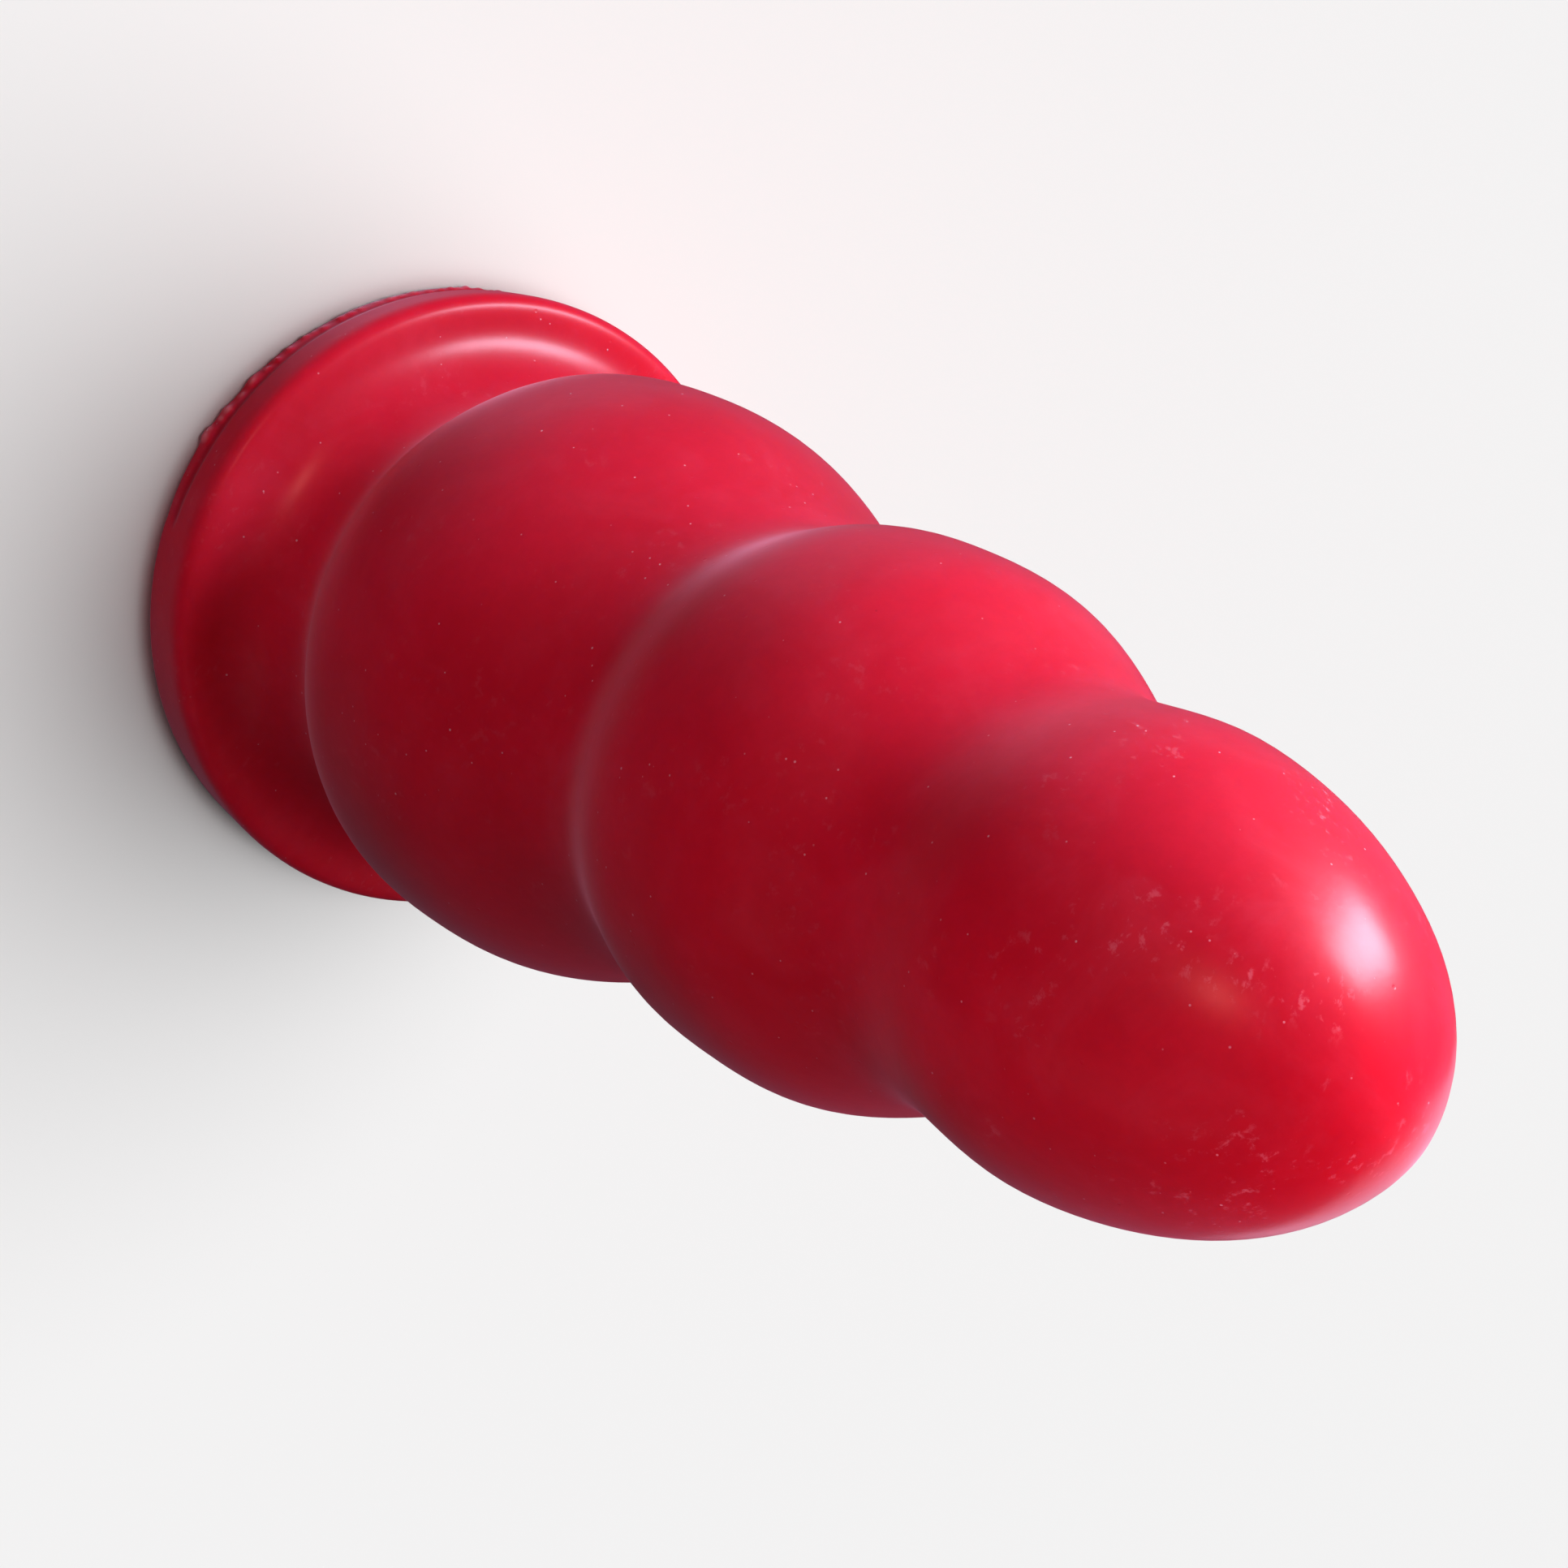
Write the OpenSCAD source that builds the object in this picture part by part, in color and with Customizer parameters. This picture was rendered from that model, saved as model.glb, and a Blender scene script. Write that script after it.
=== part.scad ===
// Flared-base plug with three rounded lobes, moulded in one piece in soft red rubber.
// It is a solid of revolution about Z. The flat underside of the flange lies on z = 0, the
// origin is the centre of that face, and the rounded tip points up along +Z.
// Heights are measured up from the underside.

/* [Flange] */
// Diameter of the flange at its rim, the widest ring
flange_d = 100; // [100:1:120]
// Diameter of the flange at its foot
foot_d = 97.8; // [92:0.2:100]
// Height of the flange's rim
rim_h = 13.8; // [12:0.1:14]
// Radius that rounds the flange's front edge
rim_round = 2; // [0.5:0.1:3]

/* [Neck and waists] */
// Height at which the flange's face meets the hollow fillet
fillet_h = 14; // [14:0.1:16]
// Radius of the hollow fillet between the flange's face and the neck
fillet_r = 13; // [13:0.1:15]
// Diameter of the neck, between the flange and the widest lobe
neck_d = 72; // [66:0.2:73]
// Height of the neck
neck_h = 26.2; // [24:0.1:26.6]
// Diameter of the lower waist
lower_waist_d = 67.4; // [62:0.2:72]
// Height of the lower waist
lower_waist_h = 99.8; // [95:0.2:104]
// Diameter of the upper waist
upper_waist_d = 57.8; // [54:0.2:60]
// Height of the upper waist
upper_waist_h = 160; // [155:0.5:165]

/* [Lobes] */
// Diameter of the base lobe, the widest
base_lobe_d = 88.6; // [80:0.2:92]
// Height of the base lobe's widest ring
base_lobe_h = 55.4; // [50:0.2:60]
// Diameter of the middle lobe
middle_lobe_d = 76.2; // [73:0.2:80]
// Height of the middle lobe's widest ring
middle_lobe_h = 123.6; // [118:0.2:128]
// Diameter of the tip lobe
tip_lobe_d = 60.8; // [60.2:0.2:70]
// Height of the tip lobe's widest ring
tip_lobe_h = 178.6; // [172:0.2:184]
// Height of the rounded tip, the plug's whole length
total_h = 224; // [212:0.5:235]

/* [Fullness] */
// How full the base lobe is below its ring: 1 is a plain wave, more is blunter
base_lobe_below = 1.75; // [1:0.01:2]
// How full the base lobe is above its ring
base_lobe_above = 1.2; // [1:0.01:2]
// How full the middle lobe is below its ring
middle_lobe_below = 1.65; // [1:0.01:2]
// How full the middle lobe is above its ring
middle_lobe_above = 1.37; // [1:0.01:2]
// How full the tip lobe is below its ring
tip_lobe_below = 1.05; // [1:0.01:2]
// How pointed the tip is: 1 is an ellipse, more draws it out
tip_point = 1.22; // [1:0.01:1.5]

/* [Hidden] */

// Faces round the axis, and outline steps along each kind of curve
$fn = 96;
edge_steps = 6;
fillet_steps = 10;
half_lobe_steps = 16;
tip_steps = 22;

// Outline of the rim's front edge, a quarter circle from the side to the face
function rim_edge() = [
    for (i = [0 : edge_steps])
        let (a = 90 * i / edge_steps)
        [flange_d / 2 - rim_round * (1 - cos(a)), rim_h - rim_round * (1 - sin(a))]
];

// Outline of the hollow fillet, an arc from the flange's face up to the upright neck
function neck_fillet() =
    let (start = acos((neck_h - fillet_h) / fillet_r))
    [
        for (i = [0 : fillet_steps - 1])
            let (a = start + (90 - start) * i / fillet_steps)
            [neck_d / 2 + fillet_r * (1 - sin(a)), neck_h - fillet_r * cos(a)]
    ];

// Outline of half a lobe between a waist [d, h] and a widest ring [d, h], without its last
// point. It runs up from the waist, or up from the ring when rising is false. The radius
// falls away from the ring as a squared cosine, made blunter by the fullness.
function half_lobe(waist, ring, rising, fullness) = [
    for (i = [0 : half_lobe_steps - 1])
        let (
            from_ring = rising ? 1 - i / half_lobe_steps : i / half_lobe_steps,
            swell = pow(cos(90 * pow(from_ring, fullness)), 2)
        )
        [
            (waist[0] + (ring[0] - waist[0]) * swell) / 2,
            ring[1] + (waist[1] - ring[1]) * from_ring
        ]
];

// Outline of the tip, a drawn-out quarter ellipse from the tip lobe's widest ring to the axis
function tip_cap() = [
    for (i = [0 : tip_steps])
        let (a = 90 * i / tip_steps)
        [tip_lobe_d / 2 * cos(a), tip_lobe_h + (total_h - tip_lobe_h) * pow(sin(a), tip_point)]
];

neck = [neck_d, neck_h];
base_lobe = [base_lobe_d, base_lobe_h];
lower_waist = [lower_waist_d, lower_waist_h];
middle_lobe = [middle_lobe_d, middle_lobe_h];
upper_waist = [upper_waist_d, upper_waist_h];
tip_lobe = [tip_lobe_d, tip_lobe_h];

outline = concat(
    [[0, 0], [foot_d / 2, 0]],
    rim_edge(),
    neck_fillet(),
    half_lobe(neck, base_lobe, true, base_lobe_below),
    half_lobe(lower_waist, base_lobe, false, base_lobe_above),
    half_lobe(lower_waist, middle_lobe, true, middle_lobe_below),
    half_lobe(upper_waist, middle_lobe, false, middle_lobe_above),
    half_lobe(upper_waist, tip_lobe, true, tip_lobe_below),
    tip_cap()
);

// The whole plug: flange, neck, lobes, waists and tip are one solid casting
module moulded_body() {
    color([0.72, 0.03, 0.07])
        rotate_extrude() polygon(outline);
}

moulded_body();
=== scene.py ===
"""Looks of a one-piece, three-lobed soft rubber plug with a flared flange, standing on a pale floor.

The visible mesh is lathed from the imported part's own outline, then given what a hand-trimmed
rubber casting has: a slightly uneven skin, a softened rim, and a ragged stretch of foot edge.
"""

import math

import bpy
import numpy as np
from mathutils import Matrix, Quaternion, Vector


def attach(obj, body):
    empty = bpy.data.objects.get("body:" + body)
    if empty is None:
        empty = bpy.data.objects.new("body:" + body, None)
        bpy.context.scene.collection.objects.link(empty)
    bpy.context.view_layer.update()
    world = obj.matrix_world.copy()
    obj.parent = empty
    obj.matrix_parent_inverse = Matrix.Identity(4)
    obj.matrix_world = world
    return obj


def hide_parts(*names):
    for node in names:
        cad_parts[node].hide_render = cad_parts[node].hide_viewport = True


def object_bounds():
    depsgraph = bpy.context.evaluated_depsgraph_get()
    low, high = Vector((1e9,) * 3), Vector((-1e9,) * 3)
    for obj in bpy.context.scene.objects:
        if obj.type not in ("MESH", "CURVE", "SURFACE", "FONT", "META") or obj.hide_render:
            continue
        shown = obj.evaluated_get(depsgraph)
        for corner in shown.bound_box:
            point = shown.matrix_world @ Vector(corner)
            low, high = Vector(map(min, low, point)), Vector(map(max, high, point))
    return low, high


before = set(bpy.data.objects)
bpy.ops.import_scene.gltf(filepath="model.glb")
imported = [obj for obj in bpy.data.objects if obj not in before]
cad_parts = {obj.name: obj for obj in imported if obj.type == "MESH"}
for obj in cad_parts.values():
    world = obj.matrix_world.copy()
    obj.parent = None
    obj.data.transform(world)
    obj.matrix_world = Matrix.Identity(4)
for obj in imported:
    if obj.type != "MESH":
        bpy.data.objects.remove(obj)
cad_low, cad_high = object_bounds()

MM = 0.001
NODE = "moulded_body"
TORN_LIGHT_SHADE_ATTRIBUTE = "torn_edge_light_shade"  # mesh attribute: above 0 for a painted highlight on the trimmed nubs and lumps, below 0 for painted shade in the groove and along the cut
rng = np.random.default_rng(7)

# ---------------------------------------------------------------- mesh: sizes
OUTLINE_STEP = 0.25 * MM  # spacing at which the part's outline is resampled
CORNER_REACH = 1.3 * MM  # how far small corners of the outline are softened
EDGE_BAND = 5.2 * MM  # height of the foot band that carries the trimmed edge
EDGE_RING = 0.32 * MM  # ring spacing in that band
FLANGE_RING = 0.75 * MM  # ring spacing over the rest of the flange
FLANGE_ALONG = 44 * MM  # how far the flange reaches along the outline
LOBE_RING = 2.0 * MM  # ring spacing over the lobes
FOOT_ROUND = 0.3 * MM  # softening of the foot edge
UNDERSIDE_RINGS = (0.25, 0.6, 0.9)  # rings of the flat underside, as shares of its radius
UNDERSIDE_BORDER = 1.6 * MM  # one more ring lies this far inside the foot edge
COLUMN = 2.0  # column spacing, in degrees
TRIM_COLUMN = 0.34  # column spacing along the trimmed stretch, in degrees
LEAN = 2.9 * MM  # how far the soft casting stands out of true
LEAN_PEAK = 0.73  # where it leans most, as a share of its height

# The uneven skin: broad waves and fine ones, which fade out near the floor and near the axis
BROAD_WAVES = {"turns": 5, "length": 60 * MM, "amount": 0.07 * MM, "count": 7}
FINE_WAVES = {"turns": 16, "length": 18 * MM, "amount": 0.018 * MM, "count": 9}
SKIN_FADE = 12 * MM

# The trimmed stretch of the foot edge, in degrees of azimuth: 0 is -Y and 90 is +X
TRIM_FROM, TRIM_TO = -84.0, 17.0
TRIM_RAMP = 14.0  # its far end fades in over this
TRIM_FADE_FROM, TRIM_FADE_TO = 15.0, 11.0  # its near end fades out between these
TRIM_TOP = 6.5 * MM  # nothing is trimmed above this height
WALL_FROM, WALL_TO = 0.80, 0.98  # trimming starts and is whole at these shares of the foot's radius
CUT = 0.10 * MM  # how far the knife went inside the moulded wall
# The waves of the cut and the groove run round the foot only, so their length has no effect
CUT_WAVES = {"turns": 30, "length": 1, "amount": 0.13 * MM, "count": 9}
CUT_FULL_TO, CUT_GONE_AT = 2.0 * MM, 4.2 * MM  # heights between which the cut runs out
GROOVE_AT = 3.5 * MM  # height of the groove's middle, where the cut runs out
GROOVE_WAVES = {"turns": 20, "length": 1, "amount": 0.25 * MM, "count": 6}
GROOVE_REACH = 0.9 * MM  # half the groove's width
GROOVE_DEPTH = 0.29 * MM
GROOVE_SHADE, CUT_SHADE = 0.45, 0.12  # how much painted shade darkens the groove and the rest of the cut
NUBS_TO = -3.0  # the little nubs stop here and a plain lip goes on
NUB_GAP = (1.7, 3.9)  # degrees from one nub to the next
NUB_WIDE, NUB_TALL, NUB_OUT = (0.45, 0.8), (0.6, 1.1), (0.15, 0.45)  # half sizes and reach, in mm
NUB_HEIGHT = (1.2, 2.3)  # height of a nub's middle, in mm
NUB_HIGHLIGHT = (0.5, 1.3)  # how strong a nub's painted highlight is
LUMPS = ((-3.5, 1.5, 0.55), (-9.0, 1.2, 0.25), (-16.5, 2.0, 0.50))  # at, half width, out in mm
LUMP_HEIGHT, LUMP_TALL = 0.8 * MM, 1.6 * MM
# how strong a lump's painted highlight is
LUMP_HIGHLIGHT = 0.6


# ---------------------------------------------------------------- mesh: rings and columns
def cad_outline(part):
    """The part's outline as [radius, height] rows, from the foot edge to the tip."""
    rings = {}
    for v in part.data.vertices:
        height = round(v.co.z, 5)
        rings[height] = max(rings.get(height, 0.0), math.hypot(v.co.x, v.co.y))
    return np.array([[rings[h], h] for h in sorted(rings)])


def distance_along(outline):
    """How far each point of an outline lies from its first, measured along it."""
    return np.concatenate([[0], np.cumsum(np.hypot(*np.diff(outline, axis=0).T))])


def sample(outline, along, at):
    """Points of an outline at the distances at."""
    return np.column_stack([np.interp(at, along, outline[:, i]) for i in (0, 1)])


def soften(outline):
    """The outline at even steps, with its small corners rounded and its two ends held."""
    along = distance_along(outline)
    even = sample(outline, along, np.linspace(0, along[-1], int(along[-1] / OUTLINE_STEP) + 1))
    pad = int(4 * CORNER_REACH / OUTLINE_STEP)
    before = 2 * even[0] - even[pad:0:-1]
    after = even[-2 : -pad - 2 : -1] * [-1, 1]
    reach = np.arange(-pad, pad + 1) * OUTLINE_STEP / CORNER_REACH
    kernel = np.exp(-0.5 * reach**2)
    kernel /= kernel.sum()
    padded = np.vstack([before, even, after])
    return np.column_stack([np.convolve(padded[:, i], kernel, "valid") for i in (0, 1)])


def wall_rings(outline):
    """Rings of the wall: close together in the foot band, wider apart above it."""
    along = distance_along(outline)
    band = np.arange(FOOT_ROUND, EDGE_BAND, EDGE_RING)
    flange = np.arange(EDGE_BAND, FLANGE_ALONG, FLANGE_RING)
    rest = np.linspace(FLANGE_ALONG, along[-1], round((along[-1] - FLANGE_ALONG) / LOBE_RING) + 1)
    return sample(outline, along, np.concatenate([band, flange, rest[:-1]]))


def column_angles():
    """Azimuths of the columns: close together along the trimmed stretch, wider apart elsewhere."""
    trimmed = np.arange(TRIM_FROM, TRIM_TO, TRIM_COLUMN)
    rest = np.linspace(TRIM_TO, TRIM_FROM + 360, round((360 + TRIM_FROM - TRIM_TO) / COLUMN) + 1)
    return np.radians(np.concatenate([trimmed, rest[:-1]]))


def lean(height):
    """How far the casting's centre line stands out of true, towards -X, at a height."""
    return -LEAN * np.sin(math.pi / 2 * height / (LEAN_PEAK * cad_high.z))


def smoothstep(low, high, x):
    t = np.clip((x - low) / (high - low), 0, 1)
    return t * t * (3 - 2 * t)


# ---------------------------------------------------------------- mesh: skin and trimmed edge
def waves(azimuth, height, turns, length, amount, count):
    """A seeded sum of gentle waves round and up the casting, of about that amount."""
    total = 0
    for _ in range(count):
        k = rng.integers(1, turns + 1)
        up = rng.uniform(-1, 1) * 2 * math.pi / length
        total = total + np.cos(k * azimuth + up * height + rng.uniform(0, 2 * math.pi))
    return amount * total / math.sqrt(count)


def trimmed_edge(azimuth, height, radius):
    """The hand-trimmed stretch of the foot edge.

    It returns how far the surface lies inside the moulded wall, and the painted light: a painted
    highlight on the nubs and lumps, and painted shade in the groove and along the cut.
    """
    degrees = np.degrees((azimuth + math.pi) % (2 * math.pi) - math.pi)
    share = smoothstep(TRIM_FROM, TRIM_FROM + TRIM_RAMP, degrees)
    share = share * smoothstep(TRIM_FADE_FROM, TRIM_FADE_TO, degrees)
    cut = CUT + waves(azimuth, 0, **CUT_WAVES)
    middle = GROOVE_AT + waves(azimuth, 0, **GROOVE_WAVES)
    groove = np.exp(-(((height - middle) / GROOVE_REACH) ** 2))
    low_down = 1 - smoothstep(CUT_FULL_TO, CUT_GONE_AT, height)
    inset = share * (cut * low_down + GROOVE_DEPTH * groove)
    # painted shade: the groove and the rest of the cut are darkened
    painted_light_shade = -share * (GROOVE_SHADE * groove + CUT_SHADE)
    at = TRIM_FROM + TRIM_RAMP / 2
    while at < NUBS_TO:
        at += rng.uniform(*NUB_GAP)
        wide, tall, out = rng.uniform(*NUB_WIDE), rng.uniform(*NUB_TALL), rng.uniform(*NUB_OUT)
        across = np.radians(degrees - at) * radius / (wide * MM)
        up = (height - rng.uniform(*NUB_HEIGHT) * MM) / (tall * MM)
        nub = share * np.exp(-(across**2) - up**2)
        inset = inset - out * MM * nub
        # each nub gets a painted highlight
        painted_light_shade = painted_light_shade + rng.uniform(*NUB_HIGHLIGHT) * nub
    for at, wide, out in LUMPS:
        across, up = (degrees - at) / wide, (height - LUMP_HEIGHT) / LUMP_TALL
        lump = np.exp(-(across**2) - up**2)
        inset = inset - out * MM * lump
        # each lump gets a painted highlight
        painted_light_shade = painted_light_shade + LUMP_HIGHLIGHT * lump
    return inset, painted_light_shade


def lathe_faces(rings, columns):
    """Faces of a closed lathed grid, whose two poles are the last two points."""
    faces = []
    for i in range(rings - 1):
        low, high = i * columns, (i + 1) * columns
        for j in range(columns):
            k = (j + 1) % columns
            faces.append((low + j, low + k, high + k, high + j))
    centre, tip = rings * columns, rings * columns + 1
    top = (rings - 1) * columns
    for j in range(columns):
        k = (j + 1) % columns
        faces.append((centre, k, j))
        faces.append((top + j, top + k, tip))
    return faces


def build_plug():
    """The lathed mesh: underside, foot edge, wall and tip, closed."""
    outline = soften(cad_outline(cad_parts[NODE]))
    foot_radius = outline[0, 0]
    under = [*UNDERSIDE_RINGS, (foot_radius - UNDERSIDE_BORDER) / foot_radius]
    rings = [[foot_radius * share, 0.0] for share in under]
    rings.append([foot_radius - FOOT_ROUND, 0.0])
    rings = np.array(rings + wall_rings(outline).tolist())
    azimuth = column_angles()
    a, h = np.meshgrid(azimuth, rings[:, 1])
    r = np.repeat(rings[:, :1], len(azimuth), axis=1)
    skin = waves(a, h, **BROAD_WAVES) + waves(a, h, **FINE_WAVES)
    fade = smoothstep(0, SKIN_FADE, h) * smoothstep(0, SKIN_FADE, r)
    inset, painted_light_shade = trimmed_edge(a, h, foot_radius)
    near_foot = smoothstep(WALL_FROM, WALL_TO, r / foot_radius)
    r = r + skin * fade - np.where(h < TRIM_TOP, inset * near_foot, 0)
    x, y = r * np.sin(a) + lean(h), -r * np.cos(a)
    points = np.column_stack([x.ravel(), y.ravel(), h.ravel()])
    top = outline[-1, 1]
    poles = [[0, 0, 0], [lean(top), 0, top]]
    mesh = bpy.data.meshes.new("plug_casting")
    mesh.from_pydata(np.vstack([points, poles]).tolist(), [], lathe_faces(*h.shape))
    mesh.validate()
    mesh.shade_smooth()
    mesh.update()
    # the trimmed edge's painted highlight and painted shade are stored on the mesh
    torn_light_shade = mesh.attributes.new(TORN_LIGHT_SHADE_ATTRIBUTE, "FLOAT", "POINT")
    torn_light_shade.data.foreach_set("value", np.append((painted_light_shade * near_foot).ravel(), [0, 0]).astype(np.float32))
    return mesh


# ---------------------------------------------------------------- materials: node helpers
def add_node(tree, kind, inputs=None, **settings):
    """A new shader node with its settings, and with its inputs linked or given a value."""
    made = tree.nodes.new(kind)
    for name, value in settings.items():
        setattr(made, name, value)
    for socket, value in (inputs or {}).items():
        if isinstance(value, bpy.types.NodeSocket):
            tree.links.new(value, made.inputs[socket])
        else:
            made.inputs[socket].default_value = value
    return made


def mix(tree, share, first, second):
    """A colour between two: ShaderNodeMix has its colours at 6 and 7 and its result at 2."""
    return add_node(tree, "ShaderNodeMix", {0: share, 6: first, 7: second}, data_type="RGBA").outputs[2]


class Pattern:
    """A material's patterns. Each method adds nodes and returns the socket that holds the result."""

    def __init__(self, tree):
        self.tree = tree
        self.place = add_node(tree, "ShaderNodeTexCoord").outputs

    def axis(self, which, axis):
        """One axis of the object's own position ("Object") or "Normal"."""
        parts = add_node(self.tree, "ShaderNodeSeparateXYZ", {"Vector": self.place[which]})
        return parts.outputs[axis]

    def noise(self, scale, detail, roughness, distortion=0.0, stretch=None):
        """Cloudy noise in the object's own space, finer along the axes that stretch multiplies."""
        where = self.place["Object"]
        if stretch:
            mapping = add_node(self.tree, "ShaderNodeMapping", {"Vector": where, "Scale": stretch})
            where = mapping.outputs["Vector"]
        inputs = {
            "Vector": where,
            "Scale": scale,
            "Detail": detail,
            "Roughness": roughness,
            "Distortion": distortion,
        }
        return add_node(self.tree, "ShaderNodeTexNoise", inputs).outputs["Fac"]

    def remap(self, value, low, high, to_low=0.0, to_high=1.0):
        """The value moved smoothly from low..high to to_low..to_high, and held at those ends."""
        inputs = {"Value": value, "From Min": low, "From Max": high, "To Min": to_low, "To Max": to_high}
        made = add_node(self.tree, "ShaderNodeMapRange", inputs, interpolation_type="SMOOTHSTEP")
        return made.outputs["Result"]

    def maths(self, operation, first, second=0.0):
        made = add_node(self.tree, "ShaderNodeMath", {0: first, 1: second}, operation=operation)
        return made.outputs["Value"]

    def mix(self, share, first, second):
        return mix(self.tree, share, first, second)

    def specks(self, scale, size, kept):
        """Sparse round specks: cells of that scale, of which a share is kept."""
        inputs = {"Vector": self.place["Object"], "Scale": scale, "Randomness": 1.0}
        cells = add_node(self.tree, "ShaderNodeTexVoronoi", inputs)
        dot = self.remap(cells.outputs["Distance"], size, size * 0.5)
        parts = add_node(self.tree, "ShaderNodeSeparateColor", {"Color": cells.outputs["Color"]})
        chosen = self.remap(parts.outputs["Red"], kept, kept * 0.6)
        return self.maths("MULTIPLY", dot, chosen)


# ---------------------------------------------------------------- materials: the rubber
RED_DEEP = (0.65, 0.005, 0.026, 1)
RED_BRIGHT = (0.74, 0.008, 0.038, 1)
RED_MOTTLE = (0.50, 0.003, 0.016, 1)
BLOOM_PINK = (0.85, 0.11, 0.19, 1)
SCUFF_PINK = (0.90, 0.30, 0.36, 1)
# pale powder, which is also a painted reflection on the lobes' undersides
POWDER_AND_SHEEN_GREY = (0.62, 0.46, 0.47, 1)
DUST_PINK = (0.88, 0.50, 0.55, 1)
DIRT_BROWN = (0.10, 0.004, 0.006, 1)
# the painted highlight and the painted shade of the trimmed edge
TORN_HIGHLIGHT_PINK = (0.85, 0.22, 0.24, 1)
TORN_SHADE_RED = (0.12, 0.004, 0.008, 1)
SCUFFS_FROM, SCUFFS_FULL = 165 * MM, 216 * MM  # heights between which the scuffs thicken
SIDE_TOP, FACE = 12.4 * MM, 13.9 * MM  # the coat thickens between the flange's side and its face
WAISTS = (99.8 * MM, 160 * MM)  # heights of the two waists, where dust dulls the rubber
WAIST_DULL, WAIST_CLEAR = 4 * MM, 12 * MM  # how far from a waist it is dull, and clear again


def rubber_colour(p, near_tip, scuff, dust, torn_light_shade):
    """Cloudy pigment with what has settled on it and been rubbed into it, plus painted highlight, shade
    and reflection.
    """
    cloud = p.remap(p.noise(30, 4, 0.55, 0.4), 0.25, 0.75)
    colour = p.mix(cloud, RED_DEEP, RED_BRIGHT)
    mottle = p.remap(p.noise(420, 3, 0.7), 0.35, 0.65, 0, 0.12)
    colour = p.mix(mottle, colour, RED_MOTTLE)
    # a powdery bloom, strongest round the tip
    bloom = p.remap(p.noise(65, 6, 0.64, 0.9), 0.42, 0.74, 0, 0.16)
    bloom = p.maths("MULTIPLY", bloom, p.remap(near_tip, 0, 1, 0.55, 1))
    colour = p.mix(bloom, colour, BLOOM_PINK)
    colour = p.mix(p.maths("MULTIPLY", scuff, 0.5), colour, SCUFF_PINK)
    # powder kept on the undersides of the lobes, where hands don't rub, which also serves as a painted
    # pale reflection on their grazing lower sides
    powder_and_sheen = p.remap(p.axis("Normal", "Z"), 0.0, -0.45, 0, 0.08)
    colour = p.mix(powder_and_sheen, colour, POWDER_AND_SHEEN_GREY)
    colour = p.mix(p.maths("MULTIPLY", dust, 0.75), colour, DUST_PINK)
    dirt = p.specks(120, 0.030, 0.05)
    colour = p.mix(p.maths("MULTIPLY", dirt, 0.8), colour, DIRT_BROWN)
    # a painted highlight on the trimmed nubs and lumps, then painted shade in the groove and along the
    # cut
    colour = p.mix(p.remap(torn_light_shade, 0.0, 1.0, 0, 0.6), colour, TORN_HIGHLIGHT_PINK)
    return p.mix(p.remap(torn_light_shade, 0.0, -0.5, 0, 0.45), colour, TORN_SHADE_RED)


def rubber_coat(p, height, scuff, dust, torn_light_shade):
    """The satin coat: thin on torn, dusty and scuffed rubber, on the flange's side and in the waists."""
    matt = p.maths("MAXIMUM", p.maths("ABSOLUTE", torn_light_shade), dust)
    matt = p.maths("MAXIMUM", matt, p.maths("MULTIPLY", scuff, 0.4))
    above_side = p.remap(height, SIDE_TOP, FACE, 0.3, 0.9)
    coat = p.maths("MULTIPLY", p.remap(matt, 0.0, 0.6, 1, 0.15), above_side)
    for waist in WAISTS:
        away = p.maths("ABSOLUTE", p.maths("SUBTRACT", height, waist))
        coat = p.maths("MULTIPLY", coat, p.remap(away, WAIST_DULL, WAIST_CLEAR, 0.4, 1))
    return coat


def rubber_relief(p):
    """The bumped normal: fine grain, pinholes, and a soft unevenness left by the mould."""
    pits = p.specks(420, 0.13, 0.22)
    fine = p.maths("MULTIPLY", p.noise(700, 3, 0.6), 0.5)
    soft = p.maths("MULTIPLY", p.noise(150, 2, 0.5), 0.8)
    relief = p.maths("SUBTRACT", p.maths("ADD", fine, soft), p.maths("MULTIPLY", pits, 0.9))
    inputs = {"Strength": 0.5, "Distance": 0.05 * MM, "Height": relief}
    return add_node(p.tree, "ShaderNodeBump", inputs).outputs["Normal"]


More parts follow.
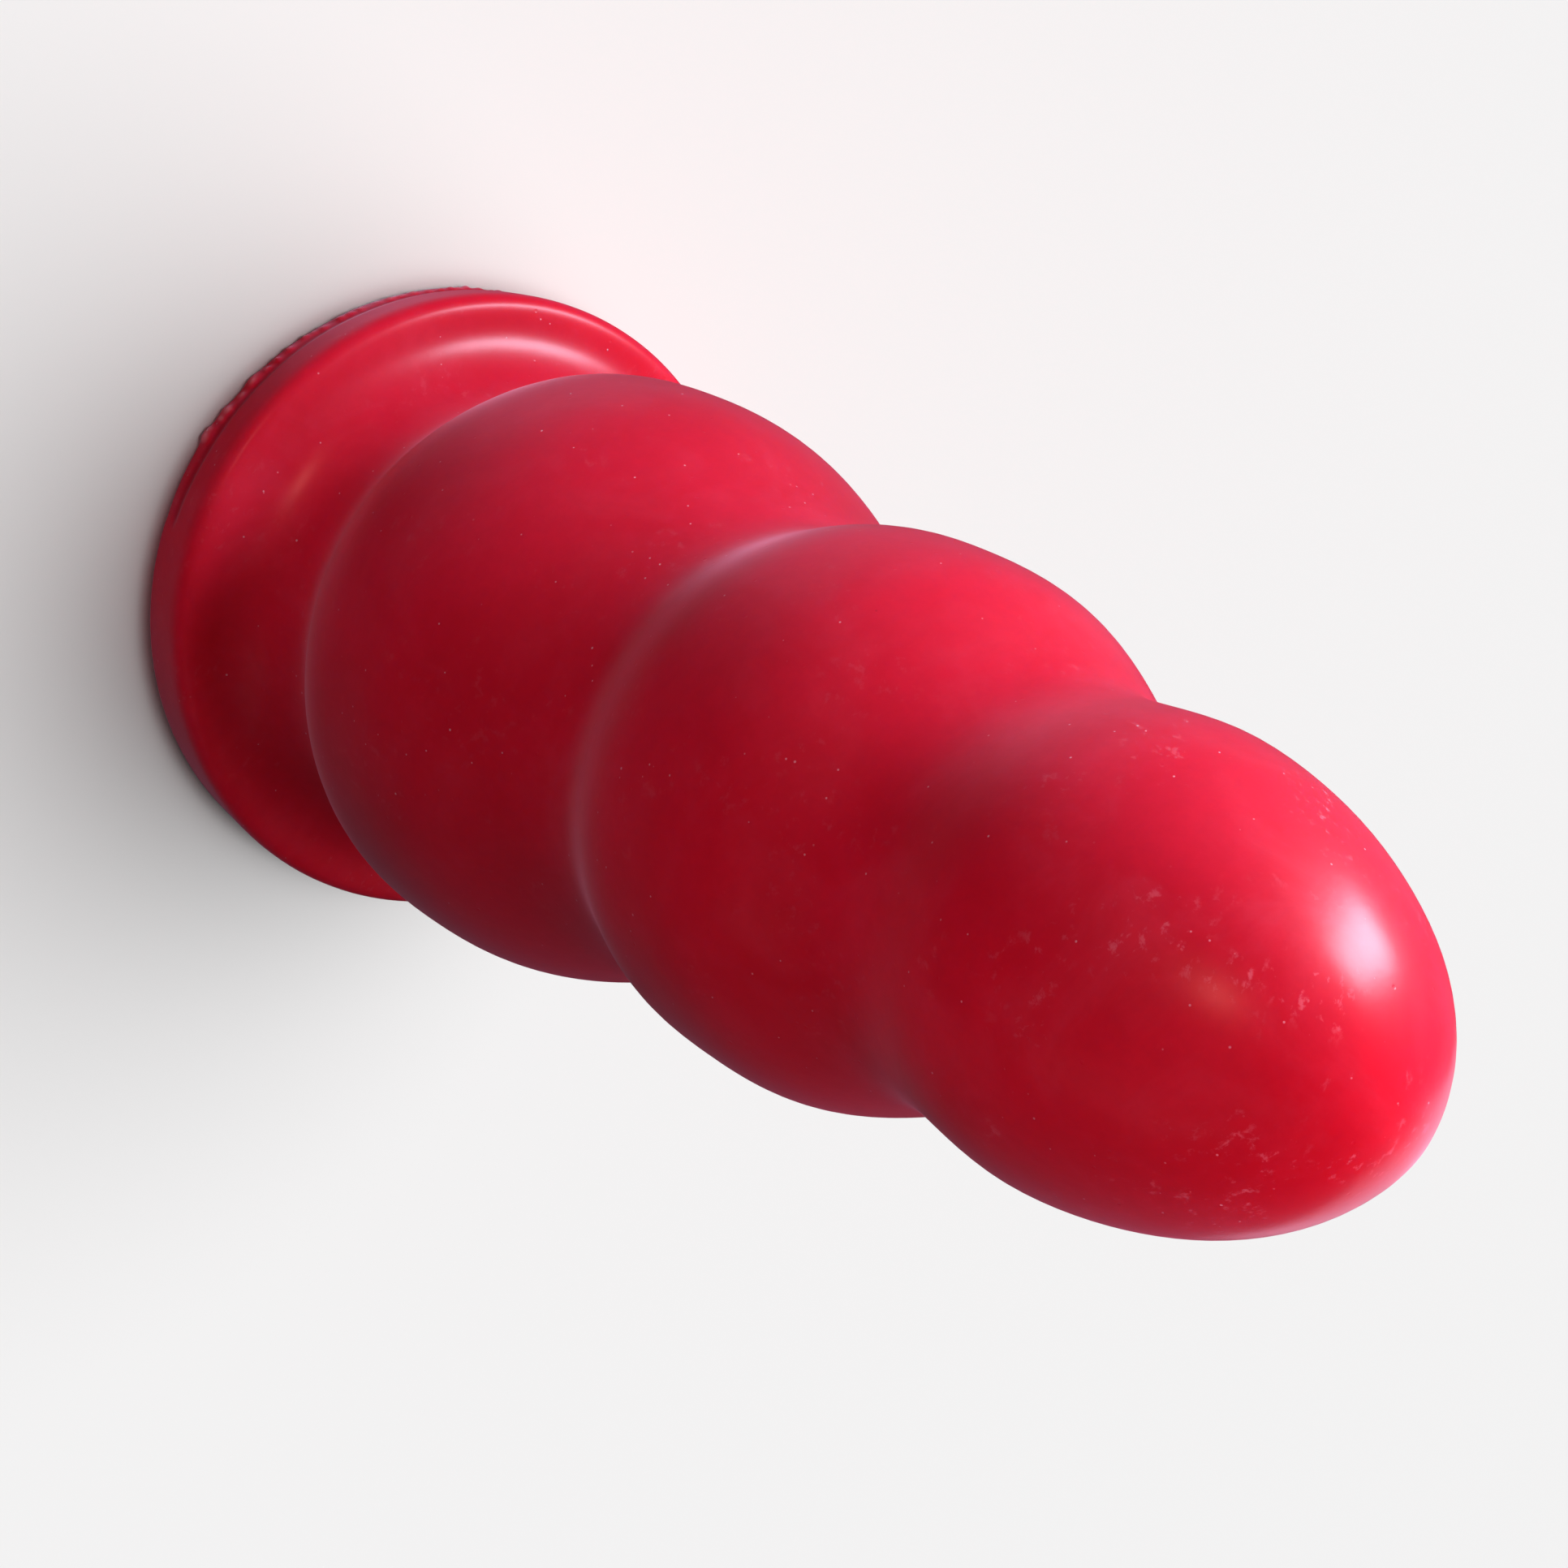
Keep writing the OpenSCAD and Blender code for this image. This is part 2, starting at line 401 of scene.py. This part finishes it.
def rubber():
    """Soft, slightly translucent red rubber with a satin coat, worn by handling."""
    material = bpy.data.materials.new("soft_red_rubber")
    material.use_nodes = True
    tree = material.node_tree
    shader = tree.nodes["Principled BSDF"]
    p = Pattern(tree)
    height = p.axis("Object", "Z")
    near_tip = p.remap(height, SCUFFS_FROM, SCUFFS_FULL, 0.2, 1)
    # scuffs: pale rubbed flecks in patches, thickest round the tip
    fleck = p.remap(p.noise(520, 4, 0.65, 0.2, (1.0, 1.5, 1.0)), 0.56, 0.70)
    patch = p.remap(p.noise(75, 2, 0.5), 0.47, 0.62)
    scuff = p.maths("MULTIPLY", p.maths("MULTIPLY", fleck, patch), near_tip)
    # dust: pale specks of two sizes all over
    dust = p.maths("MAXIMUM", p.specks(260, 0.058, 0.20), p.specks(560, 0.10, 0.28))
    # the trimmed edge's painted highlight and painted shade, read from the mesh
    torn_light_shade = add_node(tree, "ShaderNodeAttribute", attribute_name=TORN_LIGHT_SHADE_ATTRIBUTE).outputs["Fac"]
    blur = p.remap(p.noise(45, 4, 0.6), 0.25, 0.75, 0.54, 0.64)
    normal = rubber_relief(p)
    for socket, value in {
        "Base Color": rubber_colour(p, near_tip, scuff, dust, torn_light_shade),
        "Roughness": p.maths("ADD", blur, p.maths("MULTIPLY", scuff, 0.25)),
        "Coat Weight": rubber_coat(p, height, scuff, dust, torn_light_shade),
        "Normal": normal,
        "Coat Normal": normal,
    }.items():
        tree.links.new(value, shader.inputs[socket])
    for socket, value in {
        "IOR": 1.43,
        "Specular IOR Level": 0.22,
        "Specular Tint": (1.0, 0.75, 0.95, 1),
        "Coat IOR": 1.43,
        "Coat Roughness": 0.305,
        "Sheen Weight": 0.34,
        "Sheen Roughness": 0.4,
        "Sheen Tint": (1.0, 0.62, 0.78, 1),
        "Subsurface Weight": 0.8,
        "Subsurface Radius": (1.0, 0.1, 0.08),
        "Subsurface Scale": 9 * MM,
    }.items():
        shader.inputs[socket].default_value = value
    return material


# ---------------------------------------------------------------- materials: the floor
FLOOR_SEEN = (0.86, 0.86, 0.86, 1)  # as the camera sees it
FLOOR_LIT = (0.004, 0.004, 0.004, 1)  # as reflections and bounced light see it


def floor_paint():
    """Pale matt paint that throws almost no light back on the plug."""
    material = bpy.data.materials.new("pale_floor")
    material.use_nodes = True
    tree = material.node_tree
    shader = tree.nodes["Principled BSDF"]
    eye = add_node(tree, "ShaderNodeLightPath").outputs["Is Camera Ray"]
    tree.links.new(mix(tree, eye, FLOOR_LIT, FLOOR_SEEN), shader.inputs["Base Color"])
    shader.inputs["Roughness"].default_value = 0.8
    shader.inputs["Specular IOR Level"].default_value = 0.0
    return material


# ---------------------------------------------------------------- the object
plug = bpy.data.objects.new("plug_casting", build_plug())
bpy.context.scene.collection.objects.link(plug)
plug.data.materials.append(rubber())
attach(plug, "root")
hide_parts(NODE)

# ---------------------------------------------------------------- floor
FLOOR_SIZE = 60.0
FLOOR_DROP = 0.1 * MM  # it lies this far below the foot, so that the two faces don't touch
half = FLOOR_SIZE / 2
corners = [(-half, -half, 0), (half, -half, 0), (half, half, 0), (-half, half, 0)]
floor_mesh = bpy.data.meshes.new("floor")
floor_mesh.from_pydata(corners, [], [(0, 1, 2, 3)])
floor = bpy.data.objects.new("floor", floor_mesh)
bpy.context.scene.collection.objects.link(floor)
floor.location.z = -FLOOR_DROP
floor.data.materials.append(floor_paint())


# ---------------------------------------------------------------- light
def direction(azimuth, elevation):
    """The unit vector towards an azimuth and elevation in degrees: azimuth 0 is -Y, 90 is +X."""
    turn, rise = math.radians(azimuth), math.radians(elevation)
    return Vector((math.sin(turn) * math.cos(rise), -math.cos(turn) * math.cos(rise), math.sin(rise)))


def light_only(name, data, lit):
    """A lamp object that lights one object and isn't seen by the camera."""
    lamp = bpy.data.objects.new(name, data)
    bpy.context.scene.collection.objects.link(lamp)
    receivers = bpy.data.collections.new(name + "_lights")
    receivers.objects.link(lit)
    lamp.light_linking.receiver_collection = receivers
    lamp.visible_camera = False
    lamp.rotation_mode = "QUATERNION"
    return lamp


def softbox(name, aim, towards, distance, size, radiance, colour, long_axis=(0, 0, 1)):
    """A rectangular lamp that faces aim, lights the plug and is blocked by nothing else.

    It stands at that distance from aim in the direction towards. Its first size lies along
    long_axis, and radiance is what its face shines with.
    """
    data = bpy.data.lights.new(name, "AREA")
    data.shape = "RECTANGLE"
    data.size, data.size_y = size
    data.energy = radiance * size[0] * size[1] * math.pi
    data.color = colour
    lamp = light_only(name, data, plug)
    lamp.light_linking.blocker_collection = lamp.light_linking.receiver_collection
    out = Vector(towards).normalized()
    lamp.location = Vector(aim) + out * distance
    first = (Vector(long_axis) - out * out.dot(Vector(long_axis))).normalized()
    lamp.rotation_quaternion = Matrix((first, out.cross(first), out)).transposed().to_quaternion()
    return lamp


TIP = Vector((0, 0, 205 * MM))
MIDDLE = Vector((0, 0, 110 * MM))
RIM = Vector((0, 0, 8 * MM))
WAIST = Vector((0, 0, 158 * MM))
WINDOW_AIM = Vector((-16 * MM, -8 * MM, 215 * MM))
WINDOW_LONG = (0.19, 0.70, -0.68)  # which way its long side runs
WARM_AIM = Vector((-3 * MM, -20 * MM, 211 * MM))
LOW_LONG = (0.22, 0.48, 0.77)

# the window: the one lamp that gives both broad light and highlights
softbox(
    "window", WINDOW_AIM, direction(-101, 18), 0.50, (0.37, 0.145), 22.0, (1.0, 0.96, 1.2), WINDOW_LONG
)
# lamps for highlights alone
for name, aim, azimuth, elevation, distance, size, radiance, colour, long_axis in (
    ("warm_lamp", WARM_AIM, -8.3, 24, 1.5, (0.10, 0.10), 80.0, (1.0, 0.35, 0.28), (0, 0, 1)),
    ("back_glow", TIP, 172, -8, 0.38, (0.34, 0.26), 1.1, (1.0, 0.75, 1.0), (0, 0, 1)),
    ("low_glow", TIP, 64, 5, 0.5, (0.42, 0.14), 0.16, (1.0, 0.85, 1.0), LOW_LONG),
):
    lamp = softbox(name, aim, direction(azimuth, elevation), distance, size, radiance, colour, long_axis)
    lamp.visible_diffuse = False
# square lamps for broad light alone
for name, aim, azimuth, elevation, distance, size, radiance, colour in (
    ("front_fill", MIDDLE, -10, -9, 0.70, 0.45, 1.95, (1.0, 0.78, 0.92)),
    ("tip_fill", TIP, 42, 24, 0.17, 0.13, 1.5, (1.0, 0.35, 0.50)),
    ("rim_fill", RIM, -35, 0, 0.30, 0.12, 2.2, (1.0, 0.90, 0.95)),
    ("waist_fill", WAIST, -100, 38, 0.20, 0.13, 1.3, (1.0, 0.20, 0.35)),
    ("top_fill", TIP, -150, 70, 0.22, 0.22, 2.6, (1.0, 0.3, 0.50)),
    ("back_fill", TIP, 165, 45, 0.24, 0.20, 2.5, (1.0, 0.55, 0.75)),
):
    lamp = softbox(name, aim, direction(azimuth, elevation), distance, (size, size), radiance, colour)
    lamp.visible_glossy = False
# an even, soft light from above for the whole floor
overhead = bpy.data.lights.new("floor_light", "SUN")
overhead.energy, overhead.angle = 3.3, math.radians(50)
sky = light_only("floor_light", overhead, floor)
sky.rotation_quaternion = Vector((-0.25, 0.3, 1)).to_track_quat("Z", "Y")

# the camera sees a pale backdrop, and the object gets only a faint light from it
WORLD_LIGHT, WORLD_SEEN = 0.06, 0.90
world = bpy.data.worlds.new("studio")
bpy.context.scene.world = world
world.use_nodes = True
backdrop = world.node_tree.nodes["Background"]
backdrop.inputs["Color"].default_value = (1.0, 0.97, 0.98, 1)
eye = add_node(world.node_tree, "ShaderNodeLightPath").outputs["Is Camera Ray"]
strength = {"Value": eye, "To Min": WORLD_LIGHT, "To Max": WORLD_SEEN}
strength = add_node(world.node_tree, "ShaderNodeMapRange", strength).outputs["Result"]
world.node_tree.links.new(strength, backdrop.inputs["Strength"])
world.cycles_visibility.glossy = False
bpy.context.scene.view_settings.view_transform = "Standard"

# ---------------------------------------------------------------- camera
AIM = Vector((-0.6 * MM, 0, 103.2 * MM))
DISTANCE = 447.7 * MM
ELEVATION = math.radians(51.25)
ROLL = math.radians(119.8)
camera_data = bpy.data.cameras.new("camera")
camera_data.lens = 75.2
camera_data.sensor_width = 36
camera_data.clip_start, camera_data.clip_end = 0.01, 100
camera = bpy.data.objects.new("camera", camera_data)
bpy.context.scene.collection.objects.link(camera)
back = Vector((0, -math.cos(ELEVATION), math.sin(ELEVATION)))
camera.location = AIM + back * DISTANCE
camera.rotation_mode = "QUATERNION"
camera.rotation_quaternion = (-back).to_track_quat("-Z", "Y") @ Quaternion((0, 0, 1), ROLL)
bpy.context.scene.camera = camera
